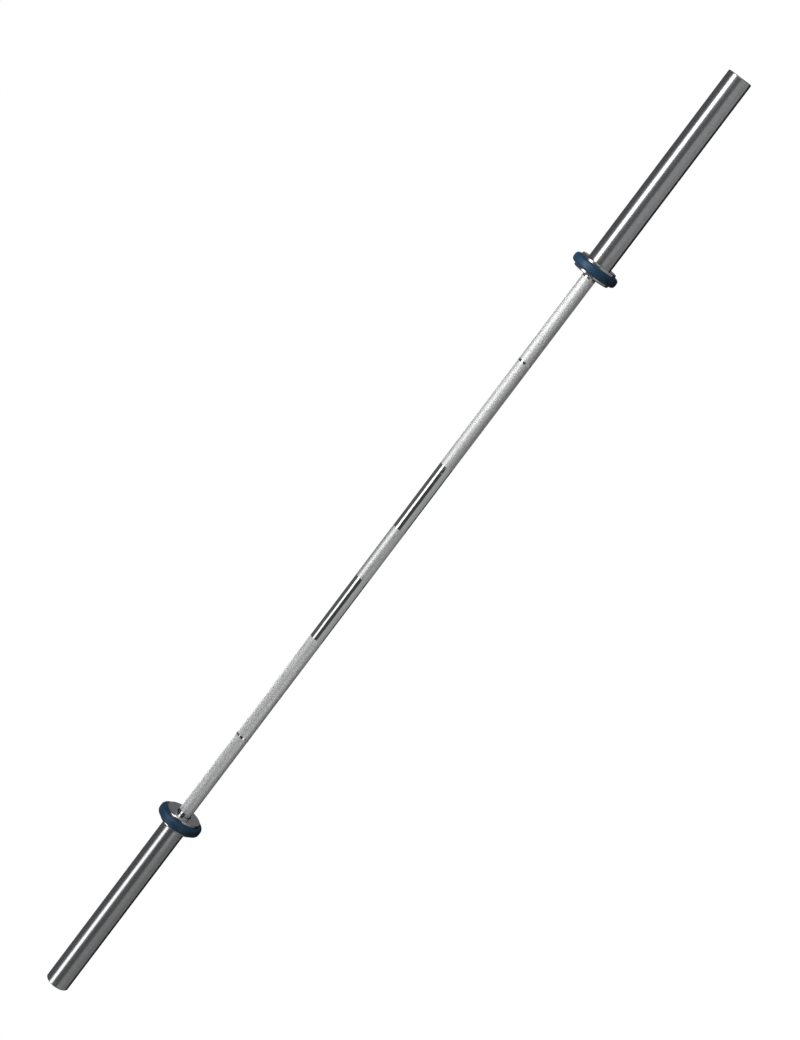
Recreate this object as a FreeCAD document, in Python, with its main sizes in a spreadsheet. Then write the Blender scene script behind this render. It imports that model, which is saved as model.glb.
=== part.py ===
"""Olympic barbell: one steel shaft with a spinning sleeve assembly on each end.

The bar lies along X with its middle at the origin and +Z up. Every piece of a sleeve assembly is drawn
once, outboard along its own +X from its inboard face. The right side places it at its station from the
collar's face, and the left side uses the same piece turned half round about Z.
"""

import FreeCAD, Part
import math
import os

import Sketcher

# Driving sizes in millimetres, counts apart, with what each one measures
SIZES = [
    ("bar_length", 2200.0, "sleeve end to sleeve end"),
    ("collar_gap", 1310.0, "between the two collars' shaft-side faces"),
    ("shaft_diameter", 28.0, "plain shaft"),
    ("knurl_rise", 0.2, "height of the knurl's crests above the plain shaft"),
    ("centre_knurl_length", 120.0, "knurl in the middle of the shaft"),
    ("smooth_length", 150.0, "each plain zone beside the centre knurl"),
    ("mark_spacing", 910.0, "between the two ring marks' middles"),
    ("mark_width", 5.0, "plain band of a ring mark"),
    ("neck_length", 6.0, "plain shaft between the outer knurl and the collar"),
    ("shaft_end_chamfer", 1.0, "on the hidden ends of the shaft"),
    ("shaft_end_gap", 8.0, "from the shaft's end to the end cap"),
    ("shaft_tail", 5.0, "shaft beyond its circlip groove"),
    ("shoulder_inset", 0.5, "from the back of the seal to the shaft's shoulder"),
    ("sleeve_diameter", 50.0, "loadable part of the sleeve"),
    ("sleeve_wall", 9.0, "sleeve, from its bore out"),
    ("sleeve_chamfer", 1.5, "outer edge of the sleeve's end"),
    ("mouth_chamfer", 0.5, "inner edge of the sleeve's end"),
    ("spigot_step", 0.5, "how far the sleeve's spigot in the collar is turned down"),
    ("counterbore_step", 2.5, "from the sleeve's bore out to its counterbore"),
    ("cap_ledge", 1.5, "ledge that the end cap sits on"),
    ("collar_diameter", 76.0, "steel collar"),
    ("collar_width", 28.5, "steel collar, along the bar"),
    ("collar_chamfer", 1.5, "outer edges of the collar"),
    ("collar_wall", 3.0, "wall of the collar in front of the seal"),
    ("collar_bore_chamfer", 0.8, "edge of the collar's bore at the sleeve"),
    ("shaft_gap", 1.5, "between the shaft and the collar's wall"),
    ("ring_height", 9.5, "how far the colour ring stands out of the collar"),
    ("ring_shoulder", 5.0, "bare collar on each side of the colour ring"),
    ("ring_round", 6.5, "rounding of the colour ring's edges"),
    ("ring_seat_depth", 1.0, "groove in the collar that holds the colour ring"),
    ("seal_width", 7.0, "shaft seal, along the bar"),
    ("seal_height", 5.0, "shaft seal, from the shaft out to its seat"),
    ("seal_wall", 1.0, "outer leg of the seal"),
    ("seal_web", 1.5, "front web of the seal"),
    ("seal_lip_back", 1.0, "from the seal's back to the end of its lip"),
    ("seal_lip_edge", 0.7, "band of the lip that rides on the shaft"),
    ("seal_lip_flare", 2.0, "lip behind its edge, along the bar"),
    ("seal_lip_rise", 1.0, "how far the lip opens away from the shaft along its flare"),
    ("seal_lip_thickness", 0.8, "end of the lip"),
    ("seal_clearance", 0.04, "lip of the seal on the shaft, on the radius"),
    ("washer_thickness", 2.0, "both thrust washers"),
    ("washer_clearance", 0.2, "thrust washers round their edges, on the radius"),
    ("end_play", 0.1, "sleeve along the shaft, at each end"),
    ("bush_length", 20.0, "bronze bush"),
    ("bush_clearance", 0.04, "bush on the journal, on the radius"),
    ("bearing_width", 20.0, "needle bearing"),
    ("cup_wall", 1.0, "drawn cup of a needle bearing"),
    ("cup_lip_gap", 0.7, "from the journal to the lips of a cup"),
    ("needle_diameter", 2.5, "from journal to cup, with the clearance in it"),
    ("needle_clearance", 0.02, "needle to journal and needle to cup"),
    ("needle_count", 16, "needles in one bearing"),
    ("cage_thickness", 1.1, "cage, on the radius"),
    ("cage_end_ring", 1.3, "cage beyond its pockets"),
    ("cage_clearance", 0.1, "cage to needles and cage to the cup's lips"),
    ("spacer_wall", 1.3, "spacer tube"),
    ("spacer_clearance", 0.1, "spacer tube in the bore, on the radius"),
    ("shaft_circlip_thickness", 1.2, "circlip on the shaft"),
    ("shaft_circlip_width", 2.8, "band of the circlip on the shaft"),
    ("shaft_groove_depth", 0.55, "groove in the journal"),
    ("shaft_eye_radius", 2.2, "ears of the circlip on the shaft"),
    ("shaft_eye_hole", 2.0, "plier holes of the circlip on the shaft"),
    ("shaft_circlip_gap", 5.0, "between the ears of the circlip on the shaft"),
    ("end_circlip_thickness", 1.75, "circlip of the end cap"),
    ("end_circlip_width", 3.6, "band of the circlip of the end cap"),
    ("end_groove_depth", 1.25, "groove in the sleeve's mouth"),
    ("end_eye_radius", 2.6, "ears of the circlip of the end cap"),
    ("end_eye_hole", 2.5, "plier holes of the circlip of the end cap"),
    ("end_circlip_gap", 8.0, "between the ears of the circlip of the end cap"),
    ("groove_clearance", 0.1, "circlips in their grooves, along the bar"),
    ("eye_offset", 0.4, "from a circlip's free edge to the middle of its ears"),
    ("end_recess", 4.5, "from the sleeve's end to the face of the end cap"),
    ("end_cap_thickness", 6.0, "end cap"),
    ("end_cap_clearance", 0.05, "end cap in the sleeve, on the radius"),
    ("end_cap_chamfer", 0.5, "inner edge of the end cap"),
    ("end_cap_rim", 7.0, "raised rim of the end cap's face"),
    ("end_cap_dish", 1.0, "depth of the dish inside that rim"),
]

# Radii, and stations along the bar from the collar's shaft-side face, worked out from the sizes
PLACES = [
    ("shaft_radius", "=sizes.shaft_diameter / 2"),
    ("knurl_radius", "=shaft_radius + sizes.knurl_rise"),
    ("sleeve_radius", "=sizes.sleeve_diameter / 2"),
    ("spigot_radius", "=sleeve_radius - sizes.spigot_step"),
    ("bore_radius", "=sleeve_radius - sizes.sleeve_wall"),
    ("counterbore_radius", "=bore_radius + sizes.counterbore_step"),
    ("mouth_radius", "=counterbore_radius + sizes.cap_ledge"),
    ("end_groove_radius", "=mouth_radius + sizes.end_groove_depth"),
    ("race_radius", "=bore_radius - sizes.cup_wall"),
    ("journal_radius", "=race_radius - sizes.needle_diameter"),
    ("pitch_radius", "=journal_radius + sizes.needle_diameter / 2"),
    ("needle_radius", "=sizes.needle_diameter / 2 - sizes.needle_clearance"),
    ("shaft_groove_radius", "=journal_radius - sizes.shaft_groove_depth"),
    ("seal_seat_radius", "=shaft_radius + sizes.seal_height"),
    ("collar_radius", "=sizes.collar_diameter / 2"),
    ("collar_hole_radius", "=shaft_radius + sizes.shaft_gap"),
    ("ring_seat_radius", "=collar_radius - sizes.ring_seat_depth"),
    ("ring_radius", "=collar_radius + sizes.ring_height"),
    ("ring_width", "=sizes.collar_width - 2 * sizes.ring_shoulder"),
    ("ring_end", "=sizes.collar_width - sizes.ring_shoulder"),
    ("seal_back", "=sizes.collar_wall + sizes.seal_width"),
    ("shoulder", "=seal_back + sizes.shoulder_inset"),
    ("sleeve_start", "=shoulder + sizes.washer_thickness + sizes.end_play"),
    ("bearing_1_start", "=sleeve_start + sizes.bush_length"),
    ("bearing_2_start", "=bearing_1_start + sizes.bearing_width"),
    ("spacer_start", "=bearing_2_start + sizes.bearing_width"),
    ("sleeve_end", "=(sizes.bar_length - sizes.collar_gap) / 2"),
    ("cap_face", "=sleeve_end - sizes.end_recess"),
    ("cap_seat", "=cap_face - sizes.end_cap_thickness"),
    ("shaft_end", "=cap_seat - sizes.shaft_end_gap"),
    ("shaft_groove_width", "=sizes.shaft_circlip_thickness + sizes.groove_clearance"),
    ("end_groove_width", "=sizes.end_circlip_thickness + sizes.groove_clearance"),
    ("shaft_groove_start", "=shaft_end - sizes.shaft_tail - shaft_groove_width"),
    ("outer_washer_start", "=shaft_groove_start - sizes.washer_thickness"),
    ("counterbore_start", "=outer_washer_start - sizes.end_play"),
    ("bearing_4_start", "=counterbore_start - sizes.bearing_width"),
    ("bearing_3_start", "=bearing_4_start - sizes.bearing_width"),
    ("spacer_length", "=bearing_3_start - spacer_start"),
]

FULL_TURN = 360
SIDES = {"right": 0, "left": 180}
BEARINGS = (1, 2, 3, 4)
AXIS = "0"

# A sketch's own numbers: its two axes, the first of which starts at its origin, and the points of a line
# or circle
ALONG_AXIS, UP_AXIS = -1, -2
START, END, CENTRE = range(1, 4)

doc = FreeCAD.newDocument("barbell")
pieces = []
cuts = []


def fill_sheet(name, rows):
    """Makes a sheet with one row per value: its name, the value under that alias and any remark."""
    sheet = doc.addObject("Spreadsheet::Sheet", name)
    for number, (alias, value, *remark) in enumerate(rows, 1):
        sheet.set(f"A{number}", alias)
        sheet.set(f"B{number}", str(value))
        sheet.set(f"C{number}", "".join(remark))
        sheet.setAlias(f"B{number}", alias)
    doc.recompute()


def new_body(label):
    """Adds an empty body, which becomes the piece of that name."""
    body = doc.addObject("PartDesign::Body", label)
    body.Label = label
    pieces.append(body)
    return body


def origin_feature(body, role):
    """The body's own origin plane or axis of that role."""
    return next(feature for feature in body.Origin.OriginFeatures if feature.Role == role)


def new_sketch(body, plane):
    """Adds an empty sketch on one of the body's origin planes."""
    sketch = body.newObject("Sketcher::SketchObject", f"{body.Label}_sketch")
    sketch.AttachmentSupport = [(origin_feature(body, plane), "")]
    sketch.MapMode = "FlatFace"
    return sketch


def bind(sketch, dimensions):
    """Adds dimensions to a sketch, each given as its kind, its geometry and the expression it follows."""
    constraints = []
    for kind, geometry, expression in dimensions:
        constraints.append(Sketcher.Constraint(kind, *geometry, sketch.evalExpression(expression)))
    numbers = sketch.addConstraint(constraints)
    for number, (kind, geometry, expression) in zip(numbers, dimensions):
        sketch.setExpression(f"Constraints[{number}]", expression)


def locate(sketch, points):
    """Puts points of a sketch where two expressions say; one written as AXIS puts its point on that axis.

    A point is given as its geometry's number, which of its points is meant, and the two expressions.
    """
    dimensions = []
    for geometry, point, x, y in points:
        for kind, axis, expression in (("DistanceX", UP_AXIS, x), ("DistanceY", ALONG_AXIS, y)):
            if expression == AXIS:
                sketch.addConstraint(Sketcher.Constraint("PointOnObject", geometry, point, axis))
            else:
                dimensions.append((kind, (ALONG_AXIS, START, geometry, point), expression))
    bind(sketch, dimensions)


def corner(sketch, x, y):
    """The point that two expressions give at present."""
    return FreeCAD.Vector(sketch.evalExpression(x), sketch.evalExpression(y), 0)


def draw_outline(sketch, outline):
    """Draws a closed outline of straight lines through points that each follow two expressions."""
    corners = [corner(sketch, x, y) for x, y in outline]
    following = corners[1:] + corners[:1]
    sketch.addGeometry([Part.LineSegment(begin, end) for begin, end in zip(corners, following)], False)
    for line in range(len(corners)):
        after = (line + 1) % len(corners)
        sketch.addConstraint(Sketcher.Constraint("Coincident", line, END, after, START))
    locate(sketch, [(line, START, x, y) for line, (x, y) in enumerate(outline)])


def draw_circles(sketch, circles):
    """Draws circles, each given as the expressions of its centre's two coordinates and its radius."""
    up = FreeCAD.Vector(0, 0, 1)
    for x, y, radius in circles:
        sketch.addGeometry(Part.Circle(corner(sketch, x, y), up, sketch.evalExpression(radius)), False)
    locate(sketch, [(number, CENTRE, x, y) for number, (x, y, radius) in enumerate(circles)])
    bind(sketch, [("Radius", (number,), radius) for number, (x, y, radius) in enumerate(circles)])


def turn_piece(label, outline):
    """A lathe-turned piece: an outline of places along the bar and radii, turned about the bar's axis."""
    body = new_body(label)
    sketch = new_sketch(body, "XY_Plane")
    draw_outline(sketch, outline)
    turned = body.newObject("PartDesign::Revolution", f"{label}_turned")
    turned.Profile = sketch
    turned.ReferenceAxis = (sketch, ["H_Axis"])
    turned.Angle = FULL_TURN
    return body


def pad_circles(body, circles, length):
    """Pads circles drawn across the bar outboard by a length."""
    sketch = new_sketch(body, "YZ_Plane")
    draw_circles(sketch, circles)
    pad = body.newObject("PartDesign::Pad", f"{body.Label}_pad")
    pad.Profile = sketch
    pad.setExpression("Length", length)
    return pad


def cut_sketch(body, sketch, depth):
    """Cuts a sketch's shape out of the body on the side that its plane faces."""
    pocket = body.newObject("PartDesign::Pocket", f"{body.Label}_cut")
    pocket.Profile = sketch
    pocket.setExpression("Length", depth)
    pocket.Reversed = True
    cuts.append(pocket)
    return pocket


def repeat_round(body, feature, count):
    """Repeats a feature of the body evenly round the bar's axis."""
    pattern = body.newObject("PartDesign::PolarPattern", f"{body.Label}_pattern")
    pattern.Originals = [feature]
    pattern.Axis = (origin_feature(body, "X_Axis"), [""])
    pattern.Angle = FULL_TURN
    pattern.setExpression("Occurrences", count)
    body.Tip = pattern
    return pattern


def place(body, side, station):
    """Puts a piece at its station from the collar's face, turned half round on the left side."""
    body.Placement = FreeCAD.Placement(
        FreeCAD.Vector(), FreeCAD.Rotation(FreeCAD.Vector(0, 0, 1), SIDES[side])
    )
    sign = "-" if SIDES[side] else ""
    body.setExpression("Placement.Base.x", f"{sign}(sizes.collar_gap / 2 + {station})")


def ring_outline(length, inner, outer):
    """Outline of a plain ring from its inboard face outboard."""
    return [(AXIS, inner), (length, inner), (length, outer), (AXIS, outer)]


def make_shaft():
    """The whole bar shaft: knurled and plain bands, then a journal with its circlip groove at each end."""
    half_gap = "sizes.collar_gap / 2"
    smooth_end = "sizes.centre_knurl_length / 2 + sizes.smooth_length"
    # Bands from the middle outwards: the place where each ends, and its radius
    bands = [
        ("sizes.centre_knurl_length / 2", "places.knurl_radius"),
        (smooth_end, "places.shaft_radius"),
        ("(sizes.mark_spacing - sizes.mark_width) / 2", "places.knurl_radius"),
        ("(sizes.mark_spacing + sizes.mark_width) / 2", "places.shaft_radius"),
        (f"{half_gap} - sizes.neck_length", "places.knurl_radius"),
        (f"{half_gap} + places.shoulder", "places.shaft_radius"),
        (f"{half_gap} + places.shaft_groove_start", "places.journal_radius"),
        (f"{half_gap} + places.shaft_groove_start + places.shaft_groove_width", "places.shaft_groove_radius"),
        (f"{half_gap} + places.shaft_end - sizes.shaft_end_chamfer", "places.journal_radius"),
    ]
    half = []
    for (end, radius), (next_end, next_radius) in zip(bands, bands[1:]):
        half.append((end, radius))
        half.append((end, next_radius))
    half.append(bands[-1])
    half.append((f"{half_gap} + places.shaft_end", "places.journal_radius - sizes.shaft_end_chamfer"))
    half.append((f"{half_gap} + places.shaft_end", AXIS))
    mirrored = [(f"-({along})", radius) for along, radius in reversed(half)]
    turn_piece("shaft", mirrored + half)


def make_sleeve(side):
    """The sleeve: a tube with a spigot for the collar, a bore for the bearings and a mouth for the cap."""
    groove_end = "places.cap_face + places.end_groove_width"
    outline = [
        ("places.sleeve_start", "places.bore_radius"),
        ("places.counterbore_start", "places.bore_radius"),
        ("places.counterbore_start", "places.counterbore_radius"),
        ("places.cap_seat", "places.counterbore_radius"),
        ("places.cap_seat", "places.mouth_radius"),
        ("places.cap_face", "places.mouth_radius"),
        ("places.cap_face", "places.end_groove_radius"),
        (groove_end, "places.end_groove_radius"),
        (groove_end, "places.mouth_radius"),
        ("places.sleeve_end - sizes.mouth_chamfer", "places.mouth_radius"),
        ("places.sleeve_end", "places.mouth_radius + sizes.mouth_chamfer"),
        ("places.sleeve_end", "places.sleeve_radius - sizes.sleeve_chamfer"),
        ("places.sleeve_end - sizes.sleeve_chamfer", "places.sleeve_radius"),
        ("sizes.collar_width", "places.sleeve_radius"),
        ("sizes.collar_width", "places.spigot_radius"),
        ("places.sleeve_start", "places.spigot_radius"),
    ]
    place(turn_piece(f"sleeve_{side}", outline), side, AXIS)


def make_collar(side):
    """The collar: a steel disc on the sleeve's spigot, hollow for the seal, grooved for the colour ring."""
    outline = [
        (AXIS, "places.collar_hole_radius"),
        ("sizes.collar_wall", "places.collar_hole_radius"),
        ("sizes.collar_wall", "places.seal_seat_radius"),
        ("places.sleeve_start", "places.seal_seat_radius"),
        ("places.sleeve_start", "places.spigot_radius"),
        ("sizes.collar_width - sizes.collar_bore_chamfer", "places.spigot_radius"),
        ("sizes.collar_width", "places.spigot_radius + sizes.collar_bore_chamfer"),
        ("sizes.collar_width", "places.collar_radius - sizes.collar_chamfer"),
        ("sizes.collar_width - sizes.collar_chamfer", "places.collar_radius"),
        ("places.ring_end", "places.collar_radius"),
        ("places.ring_end", "places.ring_seat_radius"),
        ("sizes.ring_shoulder", "places.ring_seat_radius"),
        ("sizes.ring_shoulder", "places.collar_radius"),
        ("sizes.collar_chamfer", "places.collar_radius"),
        (AXIS, "places.collar_radius - sizes.collar_chamfer"),
    ]
    place(turn_piece(f"collar_{side}", outline), side, AXIS)


def make_colour_ring(side):
    """The colour ring: moulded, seated in the collar's groove, with both outer edges rounded."""
    outline = ring_outline("places.ring_width", "places.ring_seat_radius", "places.ring_radius")
    body = turn_piece(f"colour_ring_{side}", outline)
    doc.recompute()
    turned = body.Tip
    crown = body.evalExpression("places.ring_radius")
    rims = [
        f"Edge{number}"
        for number, edge in enumerate(turned.Shape.Edges, 1)
        if isinstance(edge.Curve, Part.Circle) and math.isclose(edge.Curve.Radius, crown)
    ]
    rounded = body.newObject("PartDesign::Fillet", f"colour_ring_{side}_rounded")
    rounded.Base = (turned, rims)
    rounded.setExpression("Radius", "sizes.ring_round")
    place(body, side, "sizes.ring_shoulder")


def make_shaft_seal(side):
    """The shaft seal: a rubber ring with an outer leg, a front web and a lip that rides on the shaft."""
    lip_end = "sizes.seal_width - sizes.seal_lip_back"
    lip_front = f"{lip_end} - sizes.seal_lip_flare - sizes.seal_lip_edge"
    lip_radius = "places.shaft_radius + sizes.seal_clearance"
    lip_open = "places.shaft_radius + sizes.seal_lip_rise"
    outline = [
        (AXIS, "places.collar_hole_radius"),
        (lip_front, lip_radius),
        (f"{lip_front} + sizes.seal_lip_edge", lip_radius),
        (lip_end, lip_open),
        (lip_end, f"{lip_open} + sizes.seal_lip_thickness"),
        ("sizes.seal_web", "places.collar_hole_radius + sizes.seal_lip_thickness"),
        ("sizes.seal_web", "places.seal_seat_radius - sizes.seal_wall"),
        ("sizes.seal_width", "places.seal_seat_radius - sizes.seal_wall"),
        ("sizes.seal_width", "places.seal_seat_radius"),
        (AXIS, "places.seal_seat_radius"),
    ]
    place(turn_piece(f"shaft_seal_{side}", outline), side, "sizes.collar_wall")


def make_thrust_washers(side):
    """The two thrust washers: one on the shaft's shoulder, one between the counterbore and the circlip."""
    hole = "places.journal_radius + sizes.washer_clearance"
    for name, station, seat in (
        ("inner", "places.shoulder", "places.seal_seat_radius"),
        ("outer", "places.outer_washer_start", "places.counterbore_radius"),
    ):
        outline = ring_outline("sizes.washer_thickness", hole, f"{seat} - sizes.washer_clearance")
        place(turn_piece(f"{name}_thrust_washer_{side}", outline), side, station)


def make_bush(side):
    """The bronze bush, pressed into the sleeve's bore at the collar."""
    hole = "places.journal_radius + sizes.bush_clearance"
    outline = ring_outline("sizes.bush_length", hole, "places.bore_radius")
    place(turn_piece(f"bronze_bush_{side}", outline), side, "places.sleeve_start")


def make_spacer(side):
    """The spacer tube between the two pairs of needle bearings."""
    outer = "places.bore_radius - sizes.spacer_clearance"
    outline = ring_outline("places.spacer_length", f"{outer} - sizes.spacer_wall", outer)
    place(turn_piece(f"spacer_tube_{side}", outline), side, "places.spacer_start")


def make_bearing(side, number):
    """One needle bearing: a drawn cup with two lips, a slotted cage and its ring of needles."""
    station = f"places.bearing_{number}_start"
    name = f"bearing_{number}"
    lip_radius = "places.journal_radius + sizes.cup_lip_gap"
    far_lip = "sizes.bearing_width - sizes.cup_wall"
    cup = [
        (AXIS, lip_radius),
        ("sizes.cup_wall", lip_radius),
        ("sizes.cup_wall", "places.race_radius"),
        (far_lip, "places.race_radius"),
        (far_lip, lip_radius),
        ("sizes.bearing_width", lip_radius),
        ("sizes.bearing_width", "places.bore_radius"),
        (AXIS, "places.bore_radius"),
    ]
    place(turn_piece(f"{name}_cup_{side}", cup), side, station)

    cage_start = "sizes.cup_wall + sizes.cage_clearance"
    cage_length = f"sizes.bearing_width - 2 * ({cage_start})"
    pocket_length = f"{cage_length} - 2 * sizes.cage_end_ring"
    pocket_half_width = "places.needle_radius + sizes.cage_clearance"
    cage_inner = "places.pitch_radius - sizes.cage_thickness / 2"
    cage_outer = "places.pitch_radius + sizes.cage_thickness / 2"
    cage = turn_piece(f"{name}_cage_{side}", ring_outline(cage_length, cage_inner, cage_outer))
    slot = new_sketch(cage, "XY_Plane")
    slot_end = f"sizes.cage_end_ring + {pocket_length}"
    slot_outline = [
        ("sizes.cage_end_ring", f"-({pocket_half_width})"),
        (slot_end, f"-({pocket_half_width})"),
        (slot_end, pocket_half_width),
        ("sizes.cage_end_ring", pocket_half_width),
    ]
    draw_outline(slot, slot_outline)
    repeat_round(cage, cut_sketch(cage, slot, "places.race_radius"), "sizes.needle_count")
    place(cage, side, f"{station} + {cage_start}")

    needles = new_body(f"{name}_needles_{side}")
    circle = [(AXIS, "places.pitch_radius", "places.needle_radius")]
    needle = pad_circles(needles, circle, f"{pocket_length} - 2 * sizes.cage_clearance")
    repeat_round(needles, needle, "sizes.needle_count")
    place(needles, side, f"{station} + {cage_start} + sizes.cage_end_ring + sizes.cage_clearance")


def make_circlip(side, kind, inner, outer, eye_centre, station):
    """A snap ring: a flat band, two ears with plier holes, and the gap between the ears at the top."""
    body = new_body(f"{kind}_circlip_{side}")
    thickness = f"sizes.{kind}_circlip_thickness"
    half_gap = f"sizes.{kind}_circlip_gap / 2"
    eye_radius = f"sizes.{kind}_eye_radius"
    eye_side = f"{half_gap} + {eye_radius}"
    eye_height = f"sqrt(({eye_centre})^2 - ({eye_side})^2)"
    eyes = [(f"-({eye_side})", eye_height), (eye_side, eye_height)]
    pad_circles(body, [(AXIS, AXIS, inner), (AXIS, AXIS, outer)], thickness)
    pad_circles(body, [(across, up, eye_radius) for across, up in eyes], thickness)
    gap = new_sketch(body, "YZ_Plane")
    gap_top = f"({outer}) + 2 * {eye_radius}"
    gap_outline = [(f"-{half_gap}", AXIS), (half_gap, AXIS), (half_gap, gap_top), (f"-{half_gap}", gap_top)]
    draw_outline(gap, gap_outline)
    cut_sketch(body, gap, thickness)
    holes = new_sketch(body, "YZ_Plane")
    draw_circles(holes, [(across, up, f"sizes.{kind}_eye_hole / 2") for across, up in eyes])
    cut_sketch(body, holes, thickness)
    place(body, side, station)


def make_circlips(side):
    """The circlip on the shaft, with its ears outwards, and the end cap's, with its ears inwards."""
    inner = "places.shaft_groove_radius"
    outer = f"{inner} + sizes.shaft_circlip_width"
    make_circlip(side, "shaft", inner, outer, f"{outer} + sizes.eye_offset", "places.shaft_groove_start")
    outer = "places.end_groove_radius"
    inner = f"{outer} - sizes.end_circlip_width"
    make_circlip(side, "end", inner, outer, f"{inner} - sizes.eye_offset", "places.cap_face")


def make_end_cap(side):
    """The end cap: a disc on the ledge in the sleeve's mouth, with a dished face inside a rim."""
    edge = "places.mouth_radius - sizes.end_cap_clearance"
    dish_radius = f"{edge} - sizes.end_cap_rim"
    dish_floor = "sizes.end_cap_thickness - sizes.end_cap_dish"
    outline = [
        (AXIS, AXIS),
        (dish_floor, AXIS),
        (dish_floor, dish_radius),
        ("sizes.end_cap_thickness", f"{dish_radius} + sizes.end_cap_dish"),
        ("sizes.end_cap_thickness", edge),
        ("sizes.end_cap_chamfer", edge),
        (AXIS, f"{edge} - sizes.end_cap_chamfer"),
    ]
    place(turn_piece(f"end_cap_{side}", outline), side, "places.cap_seat")


def check_pieces():
    """Stops with a message if any feature failed, a cut took nothing away, or a piece isn't a sound solid."""
    for item in doc.Objects:
        if "Invalid" in item.State or "Error" in item.State:
            raise RuntimeError(f"{item.Label} failed: {item.State}")
    for cut in cuts:
        if cut.Shape.Volume >= cut.BaseFeature.Shape.Volume:
            raise RuntimeError(f"{cut.Label} cuts nothing")
    for piece in pieces:
        if piece.Shape.isNull() or not piece.Shape.isValid() or not piece.Shape.Solids:
            raise RuntimeError(f"{piece.Label} is not a sound solid")


fill_sheet("sizes", SIZES)
fill_sheet("places", PLACES)
make_shaft()
for side in SIDES:
    make_sleeve(side)
    make_collar(side)
    make_colour_ring(side)
    make_shaft_seal(side)
    make_thrust_washers(side)
    make_bush(side)
    make_spacer(side)
    for number in BEARINGS:
        make_bearing(side, number)
    make_circlips(side)
    make_end_cap(side)
doc.recompute()
check_pieces()

os.makedirs("parts", exist_ok=True)
for piece in pieces:
    piece.Shape.exportStep(f"parts/{piece.Label}.step")
print(f"{len(pieces)} pieces written")
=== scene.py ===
import math

import bpy
import numpy as np
from mathutils import Matrix, Vector


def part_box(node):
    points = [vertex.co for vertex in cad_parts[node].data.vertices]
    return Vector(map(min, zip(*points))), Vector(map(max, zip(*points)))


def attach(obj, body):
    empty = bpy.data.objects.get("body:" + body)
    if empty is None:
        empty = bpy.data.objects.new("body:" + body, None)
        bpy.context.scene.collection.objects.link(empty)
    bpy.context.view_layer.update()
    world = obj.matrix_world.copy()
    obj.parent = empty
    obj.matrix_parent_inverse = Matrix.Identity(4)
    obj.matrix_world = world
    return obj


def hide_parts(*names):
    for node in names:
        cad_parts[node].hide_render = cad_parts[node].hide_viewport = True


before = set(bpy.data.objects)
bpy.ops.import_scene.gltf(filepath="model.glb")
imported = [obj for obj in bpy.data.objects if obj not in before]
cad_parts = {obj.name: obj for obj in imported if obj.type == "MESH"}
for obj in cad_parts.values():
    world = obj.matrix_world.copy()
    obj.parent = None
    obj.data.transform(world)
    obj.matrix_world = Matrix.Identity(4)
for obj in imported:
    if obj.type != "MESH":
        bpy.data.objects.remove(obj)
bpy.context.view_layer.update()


# The shaft is one ground steel bar with diamond knurl rolled into it in five bands, plated in satin chrome.
# Plain zones flank the centre knurl, a plain ring in each outer knurl marks the grip, and a plain neck runs
# into each collar. Inside the sleeves it is turned down to a journal with a groove for its circlip.
MM = 0.001
shaft_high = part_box("shaft")[1]
collar_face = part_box("collar_right")[0].x
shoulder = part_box("inner_thrust_washer_right")[0].x
clip_low, clip_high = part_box("shaft_circlip_right")
bore_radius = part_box("bronze_bush_right")[1].z

knurl_rise = 0.2 * MM
knurl_depth = 0.36 * MM
bush_wall = 3.5 * MM
groove_depth = 0.55 * MM
crest_radius = shaft_high.z
plain_radius = crest_radius - knurl_rise
valley_radius = crest_radius - knurl_depth
journal_radius = bore_radius - bush_wall
groove_radius = journal_radius - groove_depth
journal_chamfer = 1.0 * MM
centre_knurl = 120.0 * MM
plain_zone = 150.0 * MM
mark_spacing = 910.0 * MM
mark_width = 5.0 * MM
neck = 6.0 * MM
diamonds_round = 58
diamond_slant = math.radians(30)
# How far wear leans a facet's normal back to the bar's radius, from 0 for a sharp one to 1 for a round bar
crest_wear = 0.65
centre_crest_wear = 0.85
valley_wear = 0.95
# The share of a facet's lean along the bar that is left, because hands wear it most that way
lengthwise_lean = 0.4
# A facet whose normal has less than this share along the bar is part of a cylinder, not of a step or end
level_share = 0.1


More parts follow.
